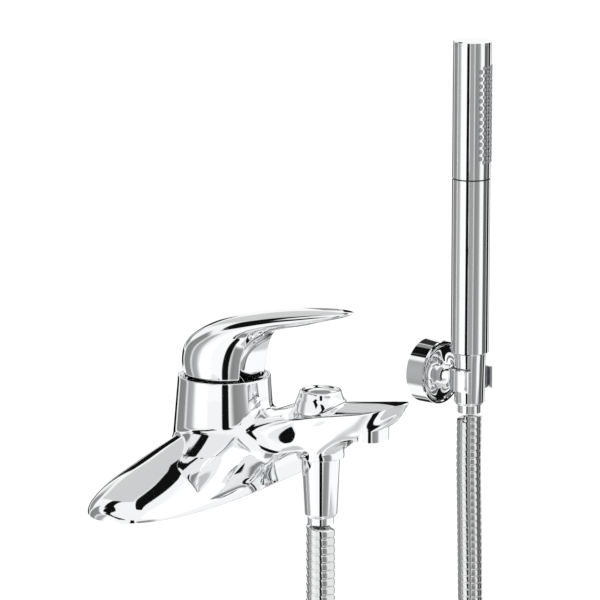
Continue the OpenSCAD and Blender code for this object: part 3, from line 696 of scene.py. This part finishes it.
SKIRT_FOOT, CEILING, INNER_SHARE = 49.2, 66, 0.9


def lever_section(top, under, half, hollow):
    """One ring of the lever, from its back or top round one side to its front and back again."""
    middle = Vector((0, top[0] + under[0], top[1] + under[1])) / 2
    rise = Vector((0, top[0] - under[0], top[1] - under[1])) / 2
    ring = []
    for angle in LEVER_ANGLES:
        c, s = math.cos(math.radians(angle)), math.sin(math.radians(angle))
        flat = 0.93 if hollow == 0 else 1.0
        point = middle + rise * math.copysign(abs(c) ** flat, c) + Vector((half * s, 0, 0))
        if angle > HOLLOW_EDGE:
            inward = hollow * (1 - (s / math.sin(math.radians(HOLLOW_EDGE))) ** 2)
            point += rise.normalized() * inward
        ring.append(point)
    mirrored = [Vector((-p.x, p.y, p.z)) for p in reversed(ring[1:-1])]
    return [p * MM for p in ring + mirrored]


lever_rings = [lever_section(*s) for s in LEVER]
lever = drawn_out("lever_handle", lever_rings)
inner = [[Vector((p.x * INNER_SHARE, p.y * INNER_SHARE, z * MM)) for p in lever_rings[0]]
         for z in (SKIRT_FOOT, CEILING)]
bpy.ops.object.mode_set(mode="EDIT")
bpy.ops.mesh.select_all(action="DESELECT")
cage = bmesh.from_edit_mesh(lever.data)
for vertex in cage.verts:
    vertex.select_set(vertex.co.z < (SKIRT_FOOT + 0.1) * MM)
cage.select_flush(True)
bmesh.update_edit_mesh(lever.data)
for before, after in ((lever_rings[0], inner[0]), (inner[0], inner[1])):
    bpy.ops.mesh.extrude_region_move()
    place_grid(lever, [before], [after])
bpy.ops.mesh.select_all(action="DESELECT")
bpy.ops.mesh.select_non_manifold()
bpy.ops.mesh.fill_holes(sides=0)
bpy.ops.mesh.select_all(action="SELECT")
bpy.ops.mesh.normals_make_consistent(inside=False)
bpy.ops.object.mode_set(mode="OBJECT")
# Crisp edges: the skirt's foot, outside and inside, and the two sides of the hollow.
for foot_ring in (lever_rings[0], inner[0]):
    crease_line(lever, foot_ring + foot_ring[:1], [0.85] * len(foot_ring))
edge_place = LEVER_ANGLES.index(HOLLOW_EDGE)
for corner in (edge_place, -edge_place):
    crease_line(lever, [r[corner] for r in lever_rings], [0.6] * 6 + [0.5, 0.35, 0.2, 0.1])
inside = range(len(lever.data.vertices) - 2 * len(inner[0]), len(lever.data.vertices))
drawn_through(lever, keep=inside)
finish_smooth(lever, 3)
# Chrome on die-cast zinc: as bright as the body, with the same soft ripple.
lever.data.materials.append(plated_metal("chromed_cast_zinc", "f1f2f3", 0.02, 0.04, 0.003, 12))
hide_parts("lever")
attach(lever, "lever_set")
give_surface("lever_screw", satin_steel)
give_surface("lever_plug", grey_moulding)

# ---------------------------------------------------------------------------------------------------
# Diverter: a chromed brass knob that is pulled up to send the water to the hose. Its flared skirt is cut to the
# spout's domed top, where it rests, and its top is dished. It screws on a brass spindle, which slides in a
# bush and lifts a brass disc with a rubber seal against a steel spring.
body_top = BVHTree.FromObject(body, bpy.context.evaluated_depsgraph_get())
KNOB_SEGMENTS = 72


def seated_circle(radius, lift):
    """A ring of points that stands a little off the spout's top."""
    ring = []
    for k in range(KNOB_SEGMENTS):
        turn = 2 * math.pi * k / KNOB_SEGMENTS
        x, y = radius * math.cos(turn) * MM, (OUTLET_Y + radius * math.sin(turn)) * MM
        hit = body_top.ray_cast(Vector((x, y, 0.1)), Vector((0, 0, -1)))[0]
        ring.append(Vector((x, y, hit.z + lift * MM)))
    return ring


def close_ends(piece, angle=None):
    """Fills a drawn out tube's two ends, points its faces outward and gives it smooth shading."""
    bpy.ops.object.select_all(action="DESELECT")
    piece.select_set(True)
    bpy.context.view_layer.objects.active = piece
    bpy.ops.object.mode_set(mode="EDIT")
    bpy.ops.mesh.select_mode(type="VERT")
    bpy.ops.mesh.select_all(action="DESELECT")
    bpy.ops.mesh.select_non_manifold()
    bpy.ops.mesh.fill_holes(sides=0)
    bpy.ops.mesh.select_all(action="SELECT")
    bpy.ops.mesh.normals_make_consistent(inside=False)
    bpy.ops.object.mode_set(mode="OBJECT")
    if angle is None:
        bpy.ops.object.shade_smooth()
    else:
        bpy.ops.object.shade_smooth_by_angle(angle=math.radians(angle))


knob_inside = [(2.1, 46.2), (10, 46.2), (11.7, 44.4)]
knob_skirt = [(12.7, 0.25), (13.5, 0.2), (13.6, 0.5), (13.3, 1.4)]
knob_outside = [(12.5, 44.3), (11.8, 45.6), (11.35, 46.8), (11.1, 48), (10.95, 48.7), (10.6, 49.15),
                (10.1, 49.35), (9.5, 49.3), (9, 49), (8.6, 48.7), (8, 48.45), (4, 48.2), (0.6, 48.15)]
knob_rings = [circle(r, z, (0, OUTLET_Y), KNOB_SEGMENTS) for r, z in knob_inside]
knob_rings += [seated_circle(r, lift) for r, lift in knob_skirt]
knob_rings += [circle(r, z, (0, OUTLET_Y), KNOB_SEGMENTS) for r, z in knob_outside]
knob = drawn_out("diverter_pull", knob_rings)
close_ends(knob, 50)
# Chrome on turned brass: mirror bright, its ripple finer than a casting's.
knob.data.materials.append(plated_metal("chromed_turned_brass", "f1f2f3", 0.02, 0.04, 0.002, 6))
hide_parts("diverter_knob")
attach(knob, "diverter")
# Turned brass that isn't plated: warm, with fine turning marks.
turned_brass = moulded("turned_brass", "b08d4c", 0.25, 0.38, 0.6, 0.01, 1.0)
give_surface("diverter_spindle diverter_bush diverter_disc", turned_brass)
give_surface("diverter_oring diverter_seal", seal_rubber)
give_surface("diverter_spring", satin_steel)

# ---------------------------------------------------------------------------------------------------
# Bath outlet: a chromed brass ring screws up into the spout's tip, and clamps the aerator's moulded insert
# against a rubber washer.

# Chrome on drawn and turned tube: bright, with very fine polishing ripple.
tube_chrome = plated_metal("chromed_drawn_tube", "f1f2f3", 0.02, 0.045, 0.002, 10)
give_surface("aerator_ring", tube_chrome)
give_surface("aerator_insert", grey_moulding)
give_surface("aerator_washer", seal_rubber)

# ---------------------------------------------------------------------------------------------------
# Hose connectors: turned brass cones, chromed, each with a rounded shoulder, a long taper, and a short foot
# over the hose's ferrule. One screws up into the spout's boss, against a washer and a check valve, and the
# other screws into the handset.
def connector(name, centre, top, radius, foot_radius, length):
    """A turned cone from its thread's end down to its foot, hollow so that the ferrule sits inside."""
    low = top - length
    outside = [(6, top + 8.4), (9.9, top + 8.4), (10.1, top + 8), (10.1, top + 0.4), (radius - 0.5, top + 0.1),
               (radius - 0.1, top - 0.3), (radius, top - 0.9), (radius - 0.25, top - 6)]
    outside += [(foot_radius + 1, low + 1.9), (foot_radius + 0.75, low + 1.3), (foot_radius + 0.2, low + 1),
                (foot_radius, low + 0.7), (foot_radius - 0.05, low + 0.3), (foot_radius - 0.3, low), (7.3, low),
                (7.2, low + 0.4), (7.2, low + 3), (4.5, low + 3)]
    made = drawn_out(name, [circle(r, z, centre, 72) for r, z in outside])
    close_ends(made, 40)
    # Chrome on turned brass: mirror bright, with a fine ripple down the taper.
    made.data.materials.append(plated_metal(name + "_chrome", "f1f2f3", 0.02, 0.04, 0.002, 8))
    return made


cone_mixer = connector("hose_connector_mixer", (0, OUTLET_Y), BOSS_FOOT, 10.25, 7.9, 32)
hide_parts("hose_cone_mixer")
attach(cone_mixer, "mixer")
cone_handset = connector("hose_connector_handset", HANDSET_AXIS, -8.5, 9.8, 8.3, 32)
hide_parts("hose_cone_handset")
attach(cone_handset, "handset")
give_surface("hose_ferrule_mixer hose_ferrule_handset", tube_chrome)
give_surface("outlet_washer", seal_rubber)
give_surface("outlet_check_valve", white_acetal)

# ---------------------------------------------------------------------------------------------------
# Handset: two drawn brass tubes, chromed, with a black ring at their joint and a cap screwed on the end.
# A silicone plate puts its nozzles through the head's holes, and a moulded tube inside brings it water.

# Grey silicone: soft, and a little paler than the rubber round it.
nozzle_silicone = moulded("grey_nozzle_silicone", "8f9194", 0.45, 0.6, 0.9, 0.01)
give_surface("handset_handle handset_head handset_cap", tube_chrome)
give_surface("handset_washer handset_joint_ring handset_cap_seal", seal_rubber)
give_surface("handset_flow_limiter handset_tube", white_acetal)
give_surface("nozzle_plate", nozzle_silicone)

# ---------------------------------------------------------------------------------------------------
# Holder: a cast arm, chromed. Its trumpet shaped dish sits in the wall cover, its neck reaches forward, and
# its spring clip with rolled lips holds the connector's cone. It is turned a little about the vertical. A steel
# screw holds the drawn cover on a brass plate.
HOLDER_Z, HOLDER_TURN = -24.5, 12


def from_holder(x, y, z):
    """A point given from the holder's own axis, towards the wall along +Y before it is turned."""
    turn = math.radians(HOLDER_TURN)
    return Vector((HANDSET_AXIS[0] + x * math.cos(turn) + y * math.sin(turn),
                   HANDSET_AXIS[1] - x * math.sin(turn) + y * math.cos(turn), HOLDER_Z + z)) * MM


# The dish's radius at distances from the clip's axis, from its neck to its back.
DISH = [(5.6, 10), (5.6, 12.4), (5.9, 14.6), (6.6, 16.4), (7.9, 18.2), (9.6, 19.7), (11.6, 20.8), (13.6, 21.4),
        (15.2, 21.6), (15.9, 21.5), (16.3, 21.25), (16.7, 21.15), (17.05, 21.25), (17.3, 21.6), (17.3, 24.4)]
dish_rings = []
for radius, away in DISH:
    turns = [2 * math.pi * k / 72 for k in range(72)]
    dish_rings.append([from_holder(radius * math.cos(t), away, radius * math.sin(t)) for t in turns])
holder = drawn_out("holder_dish", dish_rings)
close_ends(holder, 60)
holder_smooth = holder.modifiers.new("smooth", "SUBSURF")
holder_smooth.levels = holder_smooth.render_levels = 1
bpy.ops.object.modifier_apply(modifier="smooth")

# The clip's section, as its inner and outer faces with rounded corners, and its lips' larger round ends.
CLIP_STEPS, CLIP_REACH, CLIP_HEIGHT, CLIP_CORNER = 48, 131, 13.2, 0.35
clip_rings = []
for step in range(CLIP_STEPS + 1):
    bearing = math.radians(CLIP_REACH * (2 * step / CLIP_STEPS - 1))
    lip = max(0, (abs(step - CLIP_STEPS / 2) - 21.5) / 2.5)
    swell = math.sqrt(max(0.0, 1 - (1 - lip) ** 2))
    near, far = 10.75 + 1.1 * swell, 12.7 + 1.7 * swell
    if step in (0, CLIP_STEPS):
        near, far = 12.6, 13.7
    high = CLIP_HEIGHT / 2
    outside = [(far - CLIP_CORNER, -high), (far, CLIP_CORNER - high), (far, -2), (far, 2),
               (far, high - CLIP_CORNER), (far - CLIP_CORNER, high)]
    inside = [(near + CLIP_CORNER, high), (near, high - CLIP_CORNER), (near, 2), (near, -2),
              (near, CLIP_CORNER - high), (near + CLIP_CORNER, -high)]
    clip_rings.append([from_holder(r * math.sin(bearing), r * math.cos(bearing), z)
                       for r, z in outside + inside])
clip = drawn_out("holder_clip", clip_rings)
close_ends(clip, 40)
holder.select_set(True)
clip.select_set(True)
bpy.context.view_layer.objects.active = holder
bpy.ops.object.join()
# Chrome on the cast arm: mirror bright, a little hazier in the dish than on the body.
holder.data.materials.append(plated_metal("chromed_cast_holder", "f1f2f3", 0.02, 0.045, 0.002, 8))
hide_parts("holder_arm")
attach(holder, "mixer")
give_surface("wall_cover", tube_chrome)
give_surface("wall_plate", turned_brass)
give_surface("wall_cover_screw", satin_steel)
give_surface("clip_liner", grey_moulding)
